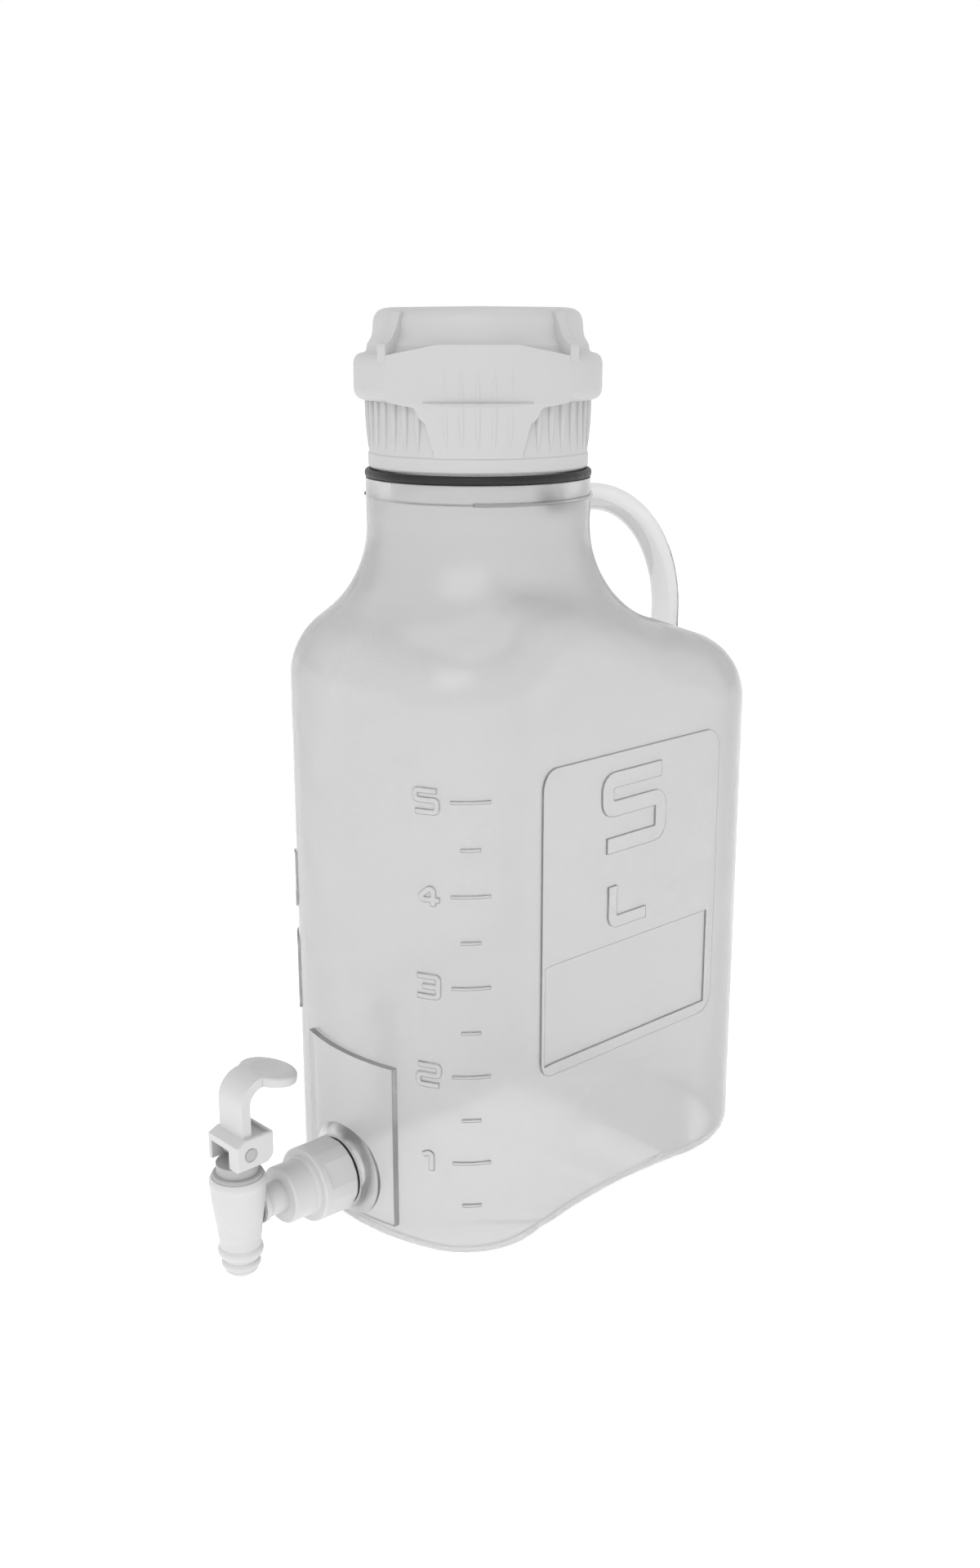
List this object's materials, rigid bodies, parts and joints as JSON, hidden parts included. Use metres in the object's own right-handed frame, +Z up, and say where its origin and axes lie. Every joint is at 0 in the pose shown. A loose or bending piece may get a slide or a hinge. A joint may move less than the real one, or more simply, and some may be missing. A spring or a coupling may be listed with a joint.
{
  "type": "clear plastic carboy with tap",
  "caption": "Clear moulded carboy with a screw cap, a loop carrying handle, a raised litre scale and a self-closing lever tap near the base.",
  "frame": {"origin": "where the neck's axis meets the plane that the base stands on", "axes": "+Z up along the neck's axis, -Y towards the tap, +Y towards the carrying handle, +X and -X are the flat side panels"},
  "size_m": [0.132, 0.2887, 0.3944],
  "materials": {
    "clear_bottle": "clear, lightly frosted moulded polyester",
    "clear_handle": "clear glossy polyester",
    "dark_rubber": "smooth dark elastomer",
    "white_cap": "matt moulded polypropylene",
    "white_insert": "matt moulded polypropylene",
    "soft_seal": "translucent silicone",
    "white_tap": "fine-grained moulded polypropylene",
    "white_bonnet": "satin moulded polypropylene",
    "white_stem": "satin moulded acetal",
    "white_pin": "smooth moulded acetal",
    "spring_steel": "drawn stainless wire"
  },
  "bodies": {
    "root": {"bottle_shell": "clear_bottle", "carry_handle": "clear_handle", "neck_ring": "dark_rubber", "outlet_washer": "soft_seal", "nut_seal": "dark_rubber", "union_nut": "white_tap", "tap_shank": "white_tap", "shank_o_ring": "dark_rubber", "tap_body": "white_tap", "tap_bonnet": "white_bonnet", "bonnet_o_ring": "dark_rubber", "closing_spring": "spring_steel"},
    "cap_insert": {"cap_disc": "white_insert", "cap_gasket": "soft_seal"},
    "cap": {"cap_shell": "white_cap"},
    "valve": {"valve_stem": "white_stem", "seat_cup": "soft_seal", "spring_washer": "spring_steel"},
    "lever": {"tap_lever": "white_tap", "lever_pin": "white_pin"}
  },
  "joints": [
    {"name": "cap_lift", "type": "slide", "parent": "root", "child": "cap_insert", "axis": [0, 0, 1], "range_m": [0, 0.048]},
    {"name": "cap_turn", "type": "hinge", "parent": "cap_insert", "child": "cap", "pos_m": [0, 0, 0.36], "axis": [0, 0, 1], "range_deg": [0, 2881]},
    {"name": "stem_lift", "type": "slide", "parent": "root", "child": "valve", "axis": [0, 0, 1], "range_m": [0, 0.00329], "deforming": ["closing_spring"]},
    {"name": "lever_tip", "type": "hinge", "parent": "valve", "child": "lever", "pos_m": [0, -0.1367, 0.0604], "axis": [-1, 0, 0], "range_deg": [0, 28], "stiffness_Nm_per_rad": 0.25, "springref_deg": -8.59}
  ],
  "couplings": [
    {"joint": "cap_turn", "follows": "cap_lift", "rad_per_m": 1047.2},
    {"joint": "stem_lift", "follows": "lever_tip", "m_per_rad": 0.0067}
  ]
}
